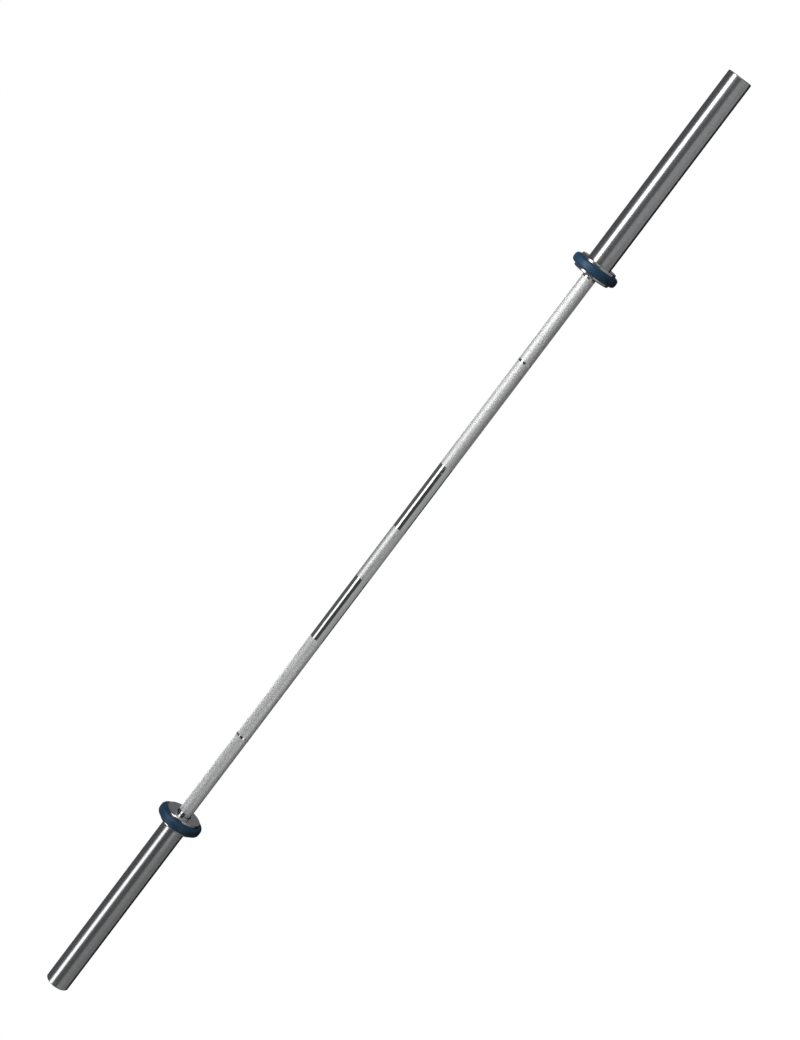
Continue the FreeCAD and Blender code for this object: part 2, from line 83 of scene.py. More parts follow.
def knurled_shaft(name):
    """The shaft as rows of points round the bar, every row with two points for each diamond.

    In a knurled band the points stand on the crest or in the valley by turns, like the squares of a chess
    board, and each cell is split from valley to valley, so every crest is a four-sided pyramid. Wear rounds
    the pyramids: a facet's normal leans back to the bar's own radius, less at its crest than in the valley,
    and more along the bar, the way hands slide, than round it. The centre knurl's crests are more worn than
    the others'. In the plain bands all points of a row have the band's radius, and their normals are the
    radius itself. One point on the axis closes each end. Knurled faces take the first material, and plain
    ones the second.
    """
    columns = 2 * diamonds_round
    row_step = math.pi * plain_radius / diamonds_round / math.tan(diamond_slant)
    smooth_end = centre_knurl / 2 + plain_zone
    mark = mark_spacing / 2
    knurl_end = collar_face - neck
    # Bands of the right half from the middle outwards: where each starts and ends, and its knurl or radius
    bands = [
        (smooth_end - plain_zone, smooth_end, plain_radius),
        (smooth_end, mark - mark_width / 2, None),
        (mark - mark_width / 2, mark + mark_width / 2, plain_radius),
        (mark + mark_width / 2, knurl_end, None),
        (knurl_end, shoulder, plain_radius),
        (shoulder, clip_low.x, journal_radius),
        (clip_low.x, clip_high.x, groove_radius),
        (clip_high.x, shaft_high.x - journal_chamfer, journal_radius),
        (shaft_high.x, shaft_high.x, journal_radius - journal_chamfer),
    ]
    places = []
    radii = []
    for start, end, radius in bands:
        if radius is None:
            rows = round((end - start) / row_step)
            places.append(start + (np.arange(rows) + 0.5) * (end - start) / rows)
            radii.append(np.full(rows, np.nan))
        else:
            places.append(np.array([start, end]))
            radii.append(np.full(2, radius))
    half_places = np.concatenate(places)
    half_radii = np.concatenate(radii)
    middle_rows = 2 * round(centre_knurl / 2 / row_step) + 1
    middle_step = centre_knurl / middle_rows
    middle = (np.arange(middle_rows) - middle_rows // 2) * middle_step
    along = np.concatenate((-half_places[::-1], middle, half_places))
    radius = np.concatenate((half_radii[::-1], np.full(middle_rows, np.nan), half_radii))

    row, column = np.meshgrid(np.arange(len(along)), np.arange(columns), indexing="ij")
    crest = (row + column) % 2 == 0
    knurled = np.isnan(radius)[:, None] & np.ones(columns, bool)
    reach = np.where(knurled, np.where(crest, crest_radius, valley_radius), np.nan_to_num(radius)[:, None])
    angle = column * 2 * math.pi / columns
    points = np.stack((along[:, None] + 0 * angle, reach * np.cos(angle), reach * np.sin(angle)), axis=-1)

    here = row[:-1] * columns + column[:-1]
    beside = row[:-1] * columns + (column[:-1] + 1) % columns
    beyond = here + columns
    across = beside + columns
    split = crest[:-1, :, None]
    first = np.where(split, np.stack((here, beside, beyond), -1), np.stack((here, beside, across), -1))
    second = np.where(split, np.stack((beside, across, beyond), -1), np.stack((here, across, beyond), -1))
    rough = (knurled[:-1] | knurled[1:]).ravel()
    left_end, right_end = row.size, row.size + 1
    ring = np.arange(columns)
    following = (ring + 1) % columns
    last = (len(along) - 1) * columns
    caps = [
        np.stack((np.full(columns, left_end), following, ring), -1),
        np.stack((np.full(columns, right_end), last + ring, last + following), -1),
    ]
    faces = np.concatenate((first.reshape(-1, 3), second.reshape(-1, 3), *caps))
    rolled = np.concatenate((rough, rough, np.zeros(2 * columns, bool)))
    ends = np.array([[along[0], 0, 0], [along[-1], 0, 0]])

    vertices = np.concatenate((points.reshape(-1, 3), ends))
    mesh = bpy.data.meshes.new(name)
    mesh.from_pydata(vertices, [], faces)
    mesh.polygons.foreach_set("use_smooth", np.ones(len(faces), bool))
    mesh.polygons.foreach_set("material_index", np.where(rolled, 0, 1))
    facets = np.empty(len(faces) * 3, np.float32)
    mesh.polygons.foreach_get("normal", facets)
    facets = facets.reshape(-1, 1, 3)
    radial = (vertices * (0, 1, 1))[faces]
    radial /= np.maximum(np.linalg.norm(radial, axis=-1, keepdims=True), MM)
    on_crest = np.append(crest.ravel(), [False, False])[faces]
    in_centre = np.abs(vertices[faces][..., 0]) < centre_knurl / 2
    on_top = np.where(in_centre, centre_crest_wear, crest_wear)
    wear = np.where(on_crest, on_top, valley_wear)[..., None]
    worn = facets * (lengthwise_lean, 1, 1) * (1 - wear) + radial * wear
    plain = np.where(np.abs(facets[..., :1]) < level_share, radial, facets)
    shown = np.where(rolled[:, None, None], worn, plain).reshape(-1, 3)
    mesh.normals_split_custom_set(shown / np.linalg.norm(shown, axis=-1, keepdims=True))
    made = bpy.data.objects.new(name, mesh)
    bpy.context.scene.collection.objects.link(made)
    return made


def linear(colour):
    """A hex sRGB colour as linear red, green, blue and alpha: each channel's inverse sRGB curve."""
    channels = np.array([int(colour[place:place + 2], 16) for place in (1, 3, 5)]) / 255
    low, high = channels / 12.92, ((channels + 0.055) / 1.055) ** 2.4
    return (*np.where(channels <= 0.04045, low, high), 1.0)


def add_node(material, kind, inputs, **settings):
    """Adds a node, sets its properties, and gives its inputs values or links from other nodes' outputs."""
    made = material.node_tree.nodes.new(f"ShaderNode{kind}")
    for name, value in settings.items():
        setattr(made, name, value)
    for name, value in inputs.items():
        if isinstance(value, bpy.types.NodeSocket):
            material.node_tree.links.new(value, made.inputs[name])
        else:
            made.inputs[name].default_value = value
    return made


def new_material(name):
    """An empty node material, with its Principled shader and its Object coordinates."""
    material = bpy.data.materials.new(name)
    material.use_nodes = True
    shader = material.node_tree.nodes["Principled BSDF"]
    place = add_node(material, "TexCoord", {}).outputs["Object"]
    return material, shader, place


def link(material, output, socket):
    """Links one node's output to another node's input."""
    material.node_tree.links.new(output, socket)


# Most of a noise texture's values lie in this span
NOISE_SPAN = {"From Min": 0.3, "From Max": 0.7}

# Satin chrome over a rolled knurl: a fine grain breaks the reflections into a soft silvery sheen. Its colour
# is lighter on the crests and darker in the valleys, painted shade in the knurl's hollows. Polishing along
# the bar spreads the light round it. The more worn centre knurl is a little glossier than the others.
satin_chrome, shader, place = new_material("satin_chrome_on_knurled_steel")
grain_size = 0.9 * MM
grain_depth = 0.05 * MM
smudge_size = 45 * MM
centre_gloss = 0.055
axes = add_node(satin_chrome, "SeparateXYZ", {"Vector": place})
across = add_node(satin_chrome, "CombineXYZ", {"Y": axes.outputs["Y"], "Z": axes.outputs["Z"]})
reach = add_node(satin_chrome, "VectorMath", {0: across.outputs["Vector"]}, operation="LENGTH")
# Painted shade: the colour goes from the light crest grey down to the darker valley grey with depth into the
# knurl
height = add_node(satin_chrome, "MapRange", {
    "Value": reach.outputs["Value"], "From Min": valley_radius, "From Max": crest_radius})
grain = add_node(satin_chrome, "TexNoise", {"Vector": place, "Scale": 1 / grain_size, "Detail": 2.0})
smudge = add_node(satin_chrome, "TexNoise", {"Vector": place, "Scale": 1 / smudge_size, "Detail": 3.0})
tone = add_node(satin_chrome, "Mix", {
    "Factor": height.outputs["Result"], "A": linear("#d2d3d4"), "B": linear("#ececeb")}, data_type="RGBA")
dull = add_node(satin_chrome, "MapRange", {
    "Value": smudge.outputs["Fac"], **NOISE_SPAN, "To Min": 0.44, "To Max": 0.5})
from_middle = add_node(satin_chrome, "Math", {0: axes.outputs["X"]}, operation="ABSOLUTE")
centre = add_node(satin_chrome, "Math", {
    0: from_middle.outputs["Value"], 1: centre_knurl / 2}, operation="LESS_THAN")
sheen = add_node(satin_chrome, "Math", {
    0: centre.outputs["Value"], 1: -centre_gloss, 2: dull.outputs["Result"]}, operation="MULTIPLY_ADD")
round_bar = add_node(satin_chrome, "Tangent", {}, direction_type="RADIAL", axis="X")
bump = add_node(satin_chrome, "Bump", {
    "Height": grain.outputs["Fac"], "Strength": 0.08, "Distance": grain_depth})
shader.inputs["Metallic"].default_value = 1.0
shader.inputs["Anisotropic"].default_value = 0.75
link(satin_chrome, round_bar.outputs["Tangent"], shader.inputs["Tangent"])
link(satin_chrome, tone.outputs["Result"], shader.inputs["Base Color"])
link(satin_chrome, sheen.outputs["Value"], shader.inputs["Roughness"])
link(satin_chrome, bump.outputs["Normal"], shader.inputs["Normal"])

# The plain bands carry the same chrome over ground steel: a bright mirror with faint lengthwise draw marks
# and shallow waves, which make the edges of its reflections waver
bright_chrome, shader, place = new_material("bright_chrome_on_ground_bar")
draw_length = 60 * MM
draw_breadth = 1.5 * MM
wave_length = 10 * MM
wave_height = 0.25 * MM
lengthwise = add_node(bright_chrome, "Mapping", {
    "Vector": place, "Scale": (1 / draw_length, 1 / draw_breadth, 1 / draw_breadth)})
draw_marks = add_node(bright_chrome, "TexNoise", {
    "Vector": lengthwise.outputs["Vector"], "Scale": 1.0, "Detail": 3.0})
tone = add_node(bright_chrome, "Mix", {
    "Factor": draw_marks.outputs["Fac"], "A": linear("#cfd0d1"), "B": linear("#dadbdb")}, data_type="RGBA")
dull = add_node(bright_chrome, "MapRange", {
    "Value": draw_marks.outputs["Fac"], **NOISE_SPAN, "To Min": 0.05, "To Max": 0.08})
waves = add_node(bright_chrome, "TexNoise", {"Vector": place, "Scale": 1 / wave_length, "Detail": 1.0})
bump = add_node(bright_chrome, "Bump", {
    "Height": waves.outputs["Fac"], "Strength": 1.0, "Distance": wave_height})
shader.inputs["Metallic"].default_value = 1.0
link(bright_chrome, tone.outputs["Result"], shader.inputs["Base Color"])
link(bright_chrome, dull.outputs["Result"], shader.inputs["Roughness"])
link(bright_chrome, bump.outputs["Normal"], shader.inputs["Normal"])

shaft = knurled_shaft("shaft_knurled")
for finish in (satin_chrome, bright_chrome):
    shaft.data.materials.append(finish)
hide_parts("shaft")
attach(shaft, "shaft")


# A bronze washer sits against the shaft's shoulder in each collar, and a bronze bush in each sleeve's
# inboard end steadies it on the journal. Both are pressed from powder and soaked in oil.
def dress(node, finish):
    """Gives a piece that stays as it was drawn its finish."""
    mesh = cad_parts[node].data
    mesh.materials.clear()
    mesh.materials.append(finish)


# Oil-filled sintered bronze: warm brown metal with darker pores, too fine at 0.05 mm and so drawn at 0.5 mm
oiled_bronze, shader, place = new_material("oil_filled_sintered_bronze")
pore_size = 0.5 * MM
stain_size = 12 * MM
pores = add_node(oiled_bronze, "TexVoronoi", {"Vector": place, "Scale": 1 / pore_size})
stains = add_node(oiled_bronze, "TexNoise", {"Vector": place, "Scale": 1 / stain_size, "Detail": 3.0})
warm = add_node(oiled_bronze, "Mix", {
    "Factor": stains.outputs["Fac"], "A": linear("#a9824f"), "B": linear("#c09a63")}, data_type="RGBA")
depth = add_node(oiled_bronze, "MapRange", {
    "Value": pores.outputs["Distance"], "From Min": 0.05, "From Max": 0.3})
tone = add_node(oiled_bronze, "Mix", {
    "Factor": depth.outputs["Result"],
    "A": linear("#6b4f2e"),
    "B": warm.outputs["Result"],
}, data_type="RGBA")
dull = add_node(oiled_bronze, "MapRange", {
    "Value": stains.outputs["Fac"], **NOISE_SPAN, "To Min": 0.32, "To Max": 0.46})
shader.inputs["Metallic"].default_value = 1.0
link(oiled_bronze, tone.outputs["Result"], shader.inputs["Base Color"])
link(oiled_bronze, dull.outputs["Result"], shader.inputs["Roughness"])

SIDES = {"right": 1, "left": -1}
for side in SIDES:
    dress(f"inner_thrust_washer_{side}", oiled_bronze)
    dress(f"bronze_bush_{side}", oiled_bronze)


# Four drawn-cup needle bearings in each sleeve carry it on the journal. A cup is pressed into the bore, and
# a pressed cage keeps the needles apart while they roll between cup and journal.
BEARINGS = (1, 2, 3, 4)

# Ground bearing steel: a clear grey mirror with faint rings round the axis, at 0.6 mm for a real 0.05 mm
ground_steel, shader, place = new_material("ground_bearing_steel")
grind_spacing = 0.6 * MM
grind_length = 25 * MM
film_size = 7 * MM
rings = add_node(ground_steel, "Mapping", {
    "Vector": place, "Scale": (1 / grind_spacing, 1 / grind_length, 1 / grind_length)})
lines = add_node(ground_steel, "TexNoise", {"Vector": rings.outputs["Vector"], "Scale": 1.0, "Detail": 2.0})
film = add_node(ground_steel, "TexNoise", {"Vector": place, "Scale": 1 / film_size, "Detail": 3.0})
tone = add_node(ground_steel, "Mix", {
    "Factor": lines.outputs["Fac"], "A": linear("#c4c5c6"), "B": linear("#d3d4d5")}, data_type="RGBA")
dull = add_node(ground_steel, "MapRange", {
    "Value": film.outputs["Fac"], **NOISE_SPAN, "To Min": 0.14, "To Max": 0.26})
shader.inputs["Metallic"].default_value = 1.0
link(ground_steel, tone.outputs["Result"], shader.inputs["Base Color"])
link(ground_steel, dull.outputs["Result"], shader.inputs["Roughness"])

# Pressed sheet steel under oil: darker than the needles, cloudy, and a little brown where the oil stands
pressed_steel, shader, place = new_material("oiled_pressed_steel")
cloud_size = 4 * MM
clouds = add_node(pressed_steel, "TexNoise", {"Vector": place, "Scale": 1 / cloud_size, "Detail": 4.0})
tone = add_node(pressed_steel, "Mix", {
    "Factor": clouds.outputs["Fac"], "A": linear("#8a867e"), "B": linear("#a9aaab")}, data_type="RGBA")
dull = add_node(pressed_steel, "MapRange", {
    "Value": clouds.outputs["Fac"], **NOISE_SPAN, "To Min": 0.28, "To Max": 0.42})
shader.inputs["Metallic"].default_value = 1.0
link(pressed_steel, tone.outputs["Result"], shader.inputs["Base Color"])
link(pressed_steel, dull.outputs["Result"], shader.inputs["Roughness"])

for side in SIDES:
    for number in BEARINGS:
        dress(f"bearing_{number}_cup_{side}", ground_steel)
        dress(f"bearing_{number}_cage_{side}", pressed_steel)
        dress(f"bearing_{number}_needles_{side}", ground_steel)


# A thin spacer tube lies between the inner and the outer pair of bearings in each sleeve and keeps them
# apart. It is cut from cold-drawn steel tube and slides into the bore without a fixing.

# Drawn steel: mid grey with long faint streaks along the tube
drawn_steel, shader, place = new_material("cold_drawn_steel_tube")
streak_length = 50 * MM
streak_width = 1.2 * MM
lengthwise = add_node(drawn_steel, "Mapping", {
    "Vector": place, "Scale": (1 / streak_length, 1 / streak_width, 1 / streak_width)})
streaks = add_node(drawn_steel, "TexNoise", {
    "Vector": lengthwise.outputs["Vector"], "Scale": 1.0, "Detail": 3.0})
tone = add_node(drawn_steel, "Mix", {
    "Factor": streaks.outputs["Fac"], "A": linear("#97989a"), "B": linear("#b2b3b4")}, data_type="RGBA")
dull = add_node(drawn_steel, "MapRange", {
    "Value": streaks.outputs["Fac"], **NOISE_SPAN, "To Min": 0.28, "To Max": 0.4})
shader.inputs["Metallic"].default_value = 1.0
link(drawn_steel, tone.outputs["Result"], shader.inputs["Base Color"])
link(drawn_steel, dull.outputs["Result"], shader.inputs["Roughness"])

for side in SIDES:
    dress(f"spacer_tube_{side}", drawn_steel)


# Outboard of the bearings a hardened steel washer stands against the sleeve's inner shoulder, and a circlip
# of spring steel in the journal's groove holds it there. The two of them keep the sleeve on the shaft.

# Hardened washer steel: flat ground, grey, with straight grinding lines across its faces
flat_ground_steel, shader, place = new_material("flat_ground_hardened_steel")
lay_spacing = 0.5 * MM
lay_length = 33.3 * MM
lay = add_node(flat_ground_steel, "Mapping", {
    "Vector": place, "Scale": (1 / lay_spacing, 1 / lay_length, 1 / lay_spacing)})
scratches = add_node(flat_ground_steel, "TexNoise", {
    "Vector": lay.outputs["Vector"], "Scale": 1.0, "Detail": 2.0})
tone = add_node(flat_ground_steel, "Mix", {
    "Factor": scratches.outputs["Fac"], "A": linear("#a3a4a6"), "B": linear("#bcbdbe")}, data_type="RGBA")
dull = add_node(flat_ground_steel, "MapRange", {
    "Value": scratches.outputs["Fac"], **NOISE_SPAN, "To Min": 0.22, "To Max": 0.34})
shader.inputs["Metallic"].default_value = 1.0
link(flat_ground_steel, tone.outputs["Result"], shader.inputs["Base Color"])
link(flat_ground_steel, dull.outputs["Result"], shader.inputs["Roughness"])

# Phosphated spring steel: soft charcoal grey, faintly crystalline
phosphated_steel, shader, place = new_material("phosphated_spring_steel")
crystal_size = 0.4 * MM
rub_size = 4 * MM
crystals = add_node(phosphated_steel, "TexVoronoi", {"Vector": place, "Scale": 1 / crystal_size})
rubs = add_node(phosphated_steel, "TexNoise", {"Vector": place, "Scale": 1 / rub_size, "Detail": 3.0})
tone = add_node(phosphated_steel, "Mix", {
    "Factor": crystals.outputs["Distance"],
    "A": linear("#232326"),
    "B": linear("#38383b"),
}, data_type="RGBA")
dull = add_node(phosphated_steel, "MapRange", {
    "Value": rubs.outputs["Fac"], **NOISE_SPAN, "To Min": 0.42, "To Max": 0.6})
shader.inputs["Metallic"].default_value = 0.3
link(phosphated_steel, tone.outputs["Result"], shader.inputs["Base Color"])
link(phosphated_steel, dull.outputs["Result"], shader.inputs["Roughness"])

for side in SIDES:
    dress(f"outer_thrust_washer_{side}", flat_ground_steel)
    dress(f"shaft_circlip_{side}", phosphated_steel)


# A sleeve is a steel tube that the weight plates slide on, turned, ground and hard-chromed. A spigot at its
# inboard end carries the collar, its bore the bush and bearings, and its mouth the end cap and circlip.
STEPS_ROUND = 192
ARC_STEPS = 4


def turned(name, outline, way):
    """A turned piece: a closed outline of (place along the bar, radius, corner rounding) swept round X.

    The outline runs up the inboard face, outboard along the outside, down the outboard face and back along
    the bore. Each corner becomes an arc: its heading swings evenly from one side's to the next one's, and
    its points lie square to that heading at the rounding's distance from the arc's centre. The surface's
    normal is square to the heading too. A way of -1 turns the piece half round about Z, for the left end.
    """
    corners = np.array(outline, float)
    point, rounding = corners[:, :2], corners[:, 2]
    before = point - np.roll(point, 1, axis=0)
    after = np.roll(before, -1, axis=0)
    heading = np.arctan2(before[:, 1], before[:, 0])
    cross = before[:, 0] * after[:, 1] - before[:, 1] * after[:, 0]
    bend = np.arctan2(cross, (before * after).sum(axis=1))
    swept = heading[:, None] + bend[:, None] * np.linspace(0, 1, ARC_STEPS + 1)
    square = np.stack((-np.sin(swept), np.cos(swept)), axis=-1)
    towards = np.stack((np.cos(heading), np.sin(heading)), axis=-1)
    begin = point - towards * (rounding * np.tan(np.abs(bend) / 2))[:, None]
    arc = (rounding * np.sign(bend))[:, None, None]
    profile = (begin[:, None] + square[:, :1] * arc - square * arc).reshape(-1, 2)
    facing = square.reshape(-1, 2)

    angle = np.arange(STEPS_ROUND) * 2 * math.pi / STEPS_ROUND
    wheel = np.stack((np.cos(angle), np.sin(angle)), axis=-1)
    half_turn = np.array([way, way, 1])

    def spin(pairs):
        """Pairs of a length along X and a length across it, spun about X into points or directions."""
        length = np.broadcast_to(pairs[:, None, :1], (len(pairs), STEPS_ROUND, 1))
        return np.concatenate((length, pairs[:, None, 1:] * wheel), axis=-1).reshape(-1, 3) * half_turn

    row, column = np.meshgrid(np.arange(len(profile)), np.arange(STEPS_ROUND), indexing="ij")
    beyond, beside = (row + 1) % len(profile), (column + 1) % STEPS_ROUND
    cells = [(row, column), (row, beside), (beyond, beside), (beyond, column)]
    faces = np.stack([along * STEPS_ROUND + round_bar for along, round_bar in cells], axis=-1)
    mesh = bpy.data.meshes.new(name)
    mesh.from_pydata(spin(profile), [], faces.reshape(-1, 4))
    mesh.polygons.foreach_set("use_smooth", np.ones(faces.size // 4, bool))
    mesh.normals_split_custom_set_from_vertices(spin(facing))
    made = bpy.data.objects.new(name, mesh)
    bpy.context.scene.collection.objects.link(made)
    return made


# Hard chrome over a ground tube: a dark mirror with faint rings from the grinding wheel, too fine to show at
# their real spacing of about 0.1 mm and so drawn at 0.8 mm, a few soft smears along the tube, and the mottle
# of plates that have slid over it
ground_chrome, shader, place = new_material("hard_chrome_on_ground_steel")
ring_spacing = 0.8 * MM
ring_depth = 0.01 * MM
smear_length = 120 * MM
smear_width = 6 * MM
mottle_size = 5 * MM
rings = add_node(ground_chrome, "Mapping", {
    "Vector": place, "Scale": (1 / ring_spacing, 1 / smear_length, 1 / smear_length)})
lines = add_node(ground_chrome, "TexNoise", {"Vector": rings.outputs["Vector"], "Scale": 1.0, "Detail": 2.0})
lengthwise = add_node(ground_chrome, "Mapping", {
    "Vector": place, "Scale": (1 / smear_length, 1 / smear_width, 1 / smear_width)})
smears = add_node(ground_chrome, "TexNoise", {
    "Vector": lengthwise.outputs["Vector"], "Scale": 1.0, "Detail": 3.0})
mottle = add_node(ground_chrome, "TexNoise", {"Vector": place, "Scale": 1 / mottle_size, "Detail": 2.0})
tone = add_node(ground_chrome, "Mix", {
    "Factor": mottle.outputs["Fac"], "A": linear("#a0a1a3"), "B": linear("#c7c8c9")}, data_type="RGBA")
dull = add_node(ground_chrome, "MapRange", {
    "Value": smears.outputs["Fac"], **NOISE_SPAN, "To Min": 0.19, "To Max": 0.26})
bump = add_node(ground_chrome, "Bump", {
    "Height": lines.outputs["Fac"], "Strength": 0.05, "Distance": ring_depth})
shader.inputs["Metallic"].default_value = 1.0
link(ground_chrome, tone.outputs["Result"], shader.inputs["Base Color"])
link(ground_chrome, dull.outputs["Result"], shader.inputs["Roughness"])
link(ground_chrome, bump.outputs["Normal"], shader.inputs["Normal"])

sleeve_low, sleeve_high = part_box("sleeve_right")
collar_low, collar_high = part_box("collar_right")
cap_low, cap_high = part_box("end_cap_right")
washer_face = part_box("outer_thrust_washer_right")[0].x
washer_play = 0.1 * MM
counterbore_step = 2.5 * MM
mouth_step = 1.5 * MM
clip_groove_depth = 1.25 * MM
clip_groove_width = 1.85 * MM
spigot_step = 0.5 * MM
counterbore_start = washer_face - washer_play
counterbore_radius = bore_radius + counterbore_step
mouth_radius = counterbore_radius + mouth_step
clip_groove_radius = mouth_radius + clip_groove_depth
clip_groove_end = cap_high.x + clip_groove_width
spigot_radius = sleeve_high.z - spigot_step
mouth_chamfer = 0.5 * MM
end_chamfer = 1.5 * MM
fine_edge = 0.15 * MM
soft_edge = 0.5 * MM
sleeve_outline = [
    (sleeve_low.x, bore_radius, fine_edge),
    (sleeve_low.x, spigot_radius, fine_edge),
    (collar_high.x, spigot_radius, fine_edge),
    (collar_high.x, sleeve_high.z, fine_edge),
    (sleeve_high.x - end_chamfer, sleeve_high.z, soft_edge),
    (sleeve_high.x, sleeve_high.z - end_chamfer, soft_edge),
    (sleeve_high.x, mouth_radius + mouth_chamfer, fine_edge),
    (sleeve_high.x - mouth_chamfer, mouth_radius, fine_edge),
    (clip_groove_end, mouth_radius, fine_edge),
    (clip_groove_end, clip_groove_radius, fine_edge),
    (cap_high.x, clip_groove_radius, fine_edge),
    (cap_high.x, mouth_radius, fine_edge),
    (cap_low.x, mouth_radius, fine_edge),
    (cap_low.x, counterbore_radius, fine_edge),
    (counterbore_start, counterbore_radius, fine_edge),
    (counterbore_start, bore_radius, fine_edge),
]
for side, way in SIDES.items():
    sleeve = turned(f"sleeve_tube_{side}", sleeve_outline, way)
    sleeve.data.materials.append(ground_chrome)
    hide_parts(f"sleeve_{side}")
    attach(sleeve, f"sleeve_{side}")


# A collar is a steel disc pressed on the sleeve's spigot, which stops the plates. Its rim is grooved for the
# colour ring and leaves a step on each side of it, and its hollow holds the shaft seal.

# Polished chrome over turned steel: a clear bright mirror, with haze here and there and a trace of the
# lathe's rings, too fine at 0.2 mm and so drawn at 1.2 mm
polished_chrome, shader, place = new_material("polished_chrome_on_turned_steel")
haze_size = 9 * MM
turning_spacing = 1.2 * MM
turning_depth = 0.01 * MM
axes = add_node(polished_chrome, "SeparateXYZ", {"Vector": place})
across = add_node(polished_chrome, "CombineXYZ", {"Y": axes.outputs["Y"], "Z": axes.outputs["Z"]})
reach = add_node(polished_chrome, "VectorMath", {0: across.outputs["Vector"]}, operation="LENGTH")
turns = add_node(polished_chrome, "TexNoise", {
    "W": reach.outputs["Value"], "Scale": 1 / turning_spacing, "Detail": 1.0}, noise_dimensions="1D")
haze = add_node(polished_chrome, "TexNoise", {"Vector": place, "Scale": 1 / haze_size, "Detail": 4.0})
tone = add_node(polished_chrome, "Mix", {
    "Factor": haze.outputs["Fac"], "A": linear("#b4b5b8"), "B": linear("#c3c4c6")}, data_type="RGBA")
dull = add_node(polished_chrome, "MapRange", {
    "Value": haze.outputs["Fac"], **NOISE_SPAN, "To Min": 0.09, "To Max": 0.16})
bump = add_node(polished_chrome, "Bump", {
    "Height": turns.outputs["Fac"], "Strength": 0.06, "Distance": turning_depth})
shader.inputs["Metallic"].default_value = 1.0
link(polished_chrome, tone.outputs["Result"], shader.inputs["Base Color"])
link(polished_chrome, dull.outputs["Result"], shader.inputs["Roughness"])
link(polished_chrome, bump.outputs["Normal"], shader.inputs["Normal"])

ring_low, ring_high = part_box("colour_ring_right")
seal_low, seal_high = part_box("shaft_seal_right")
ring_groove_depth = 1.0 * MM
shaft_gap = 1.5 * MM
ring_seat_radius = collar_high.z - ring_groove_depth
collar_hole_radius = plain_radius + shaft_gap
collar_chamfer = 1.5 * MM
bore_chamfer = 0.8 * MM
collar_outline = [
    (collar_low.x, collar_hole_radius, soft_edge),
    (collar_low.x, collar_high.z - collar_chamfer, soft_edge),
    (collar_low.x + collar_chamfer, collar_high.z, soft_edge),
    (ring_low.x, collar_high.z, fine_edge),
    (ring_low.x, ring_seat_radius, fine_edge),
    (ring_high.x, ring_seat_radius, fine_edge),
    (ring_high.x, collar_high.z, fine_edge),
    (collar_high.x - collar_chamfer, collar_high.z, soft_edge),
    (collar_high.x, collar_high.z - collar_chamfer, soft_edge),
    (collar_high.x, spigot_radius + bore_chamfer, fine_edge),
    (collar_high.x - bore_chamfer, spigot_radius, fine_edge),
    (sleeve_low.x, spigot_radius, fine_edge),
    (sleeve_low.x, seal_high.z, fine_edge),
    (seal_low.x, seal_high.z, fine_edge),
    (seal_low.x, collar_hole_radius, soft_edge),
]
for side, way in SIDES.items():
    collar = turned(f"collar_disc_{side}", collar_outline, way)
    collar.data.materials.append(polished_chrome)
    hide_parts(f"collar_{side}")
    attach(collar, f"sleeve_{side}")


# The colour ring is a moulded hoop of dark blue nylon in the collar's groove, which tells the bar's class at
# a glance. Its crown is domed: a narrow flat between two broad roundings. Its face is left bare.

# Moulded nylon: deep blue with slow drifts of tone from the mould's flow, and a fine grain that softens the
# light to a satin gloss
moulded_nylon, shader, place = new_material("moulded_blue_nylon")
mould_grain = 0.6 * MM
mould_depth = 0.03 * MM
flow_size = 14 * MM
grain = add_node(moulded_nylon, "TexNoise", {"Vector": place, "Scale": 1 / mould_grain, "Detail": 3.0})
flow = add_node(moulded_nylon, "TexNoise", {"Vector": place, "Scale": 1 / flow_size, "Detail": 3.0})
tone = add_node(moulded_nylon, "Mix", {
    "Factor": flow.outputs["Fac"], "A": linear("#275070"), "B": linear("#326287")}, data_type="RGBA")
dull = add_node(moulded_nylon, "MapRange", {
    "Value": flow.outputs["Fac"], **NOISE_SPAN, "To Min": 0.42, "To Max": 0.52})
bump = add_node(moulded_nylon, "Bump", {
    "Height": grain.outputs["Fac"], "Strength": 0.15, "Distance": mould_depth})
shader.inputs["IOR"].default_value = 1.53
link(moulded_nylon, tone.outputs["Result"], shader.inputs["Base Color"])
link(moulded_nylon, dull.outputs["Result"], shader.inputs["Roughness"])
link(moulded_nylon, bump.outputs["Normal"], shader.inputs["Normal"])

crown_round = 6.5 * MM
ring_outline = [
    (ring_low.x, ring_seat_radius, fine_edge),
    (ring_low.x, ring_high.z, crown_round),
    (ring_high.x, ring_high.z, crown_round),
    (ring_high.x, ring_seat_radius, fine_edge),
]
for side, way in SIDES.items():
    colour_ring = turned(f"colour_ring_hoop_{side}", ring_outline, way)
    colour_ring.data.materials.append(moulded_nylon)
    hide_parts(f"colour_ring_{side}")
    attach(colour_ring, f"sleeve_{side}")


# A lip seal of black rubber, moulded and pressed into each collar's hollow, keeps dust out of the bearings.
# Only its front web shows, as a dark ring in the gap round the shaft.

# Nitrile rubber: deep matt grey-black, with a fine moulded grain and paler patches of dust
nitrile_rubber, shader, place = new_material("black_nitrile_rubber")
rubber_grain = 0.3 * MM
rubber_depth = 0.03 * MM
dust_size = 5 * MM
grain = add_node(nitrile_rubber, "TexNoise", {"Vector": place, "Scale": 1 / rubber_grain, "Detail": 2.0})
dust = add_node(nitrile_rubber, "TexNoise", {"Vector": place, "Scale": 1 / dust_size, "Detail": 3.0})
tone = add_node(nitrile_rubber, "Mix", {
    "Factor": dust.outputs["Fac"], "A": linear("#141415"), "B": linear("#242425")}, data_type="RGBA")
dull = add_node(nitrile_rubber, "MapRange", {
    "Value": dust.outputs["Fac"], **NOISE_SPAN, "To Min": 0.6, "To Max": 0.75})
bump = add_node(nitrile_rubber, "Bump", {
    "Height": grain.outputs["Fac"], "Strength": 0.2, "Distance": rubber_depth})
link(nitrile_rubber, tone.outputs["Result"], shader.inputs["Base Color"])
link(nitrile_rubber, dull.outputs["Result"], shader.inputs["Roughness"])
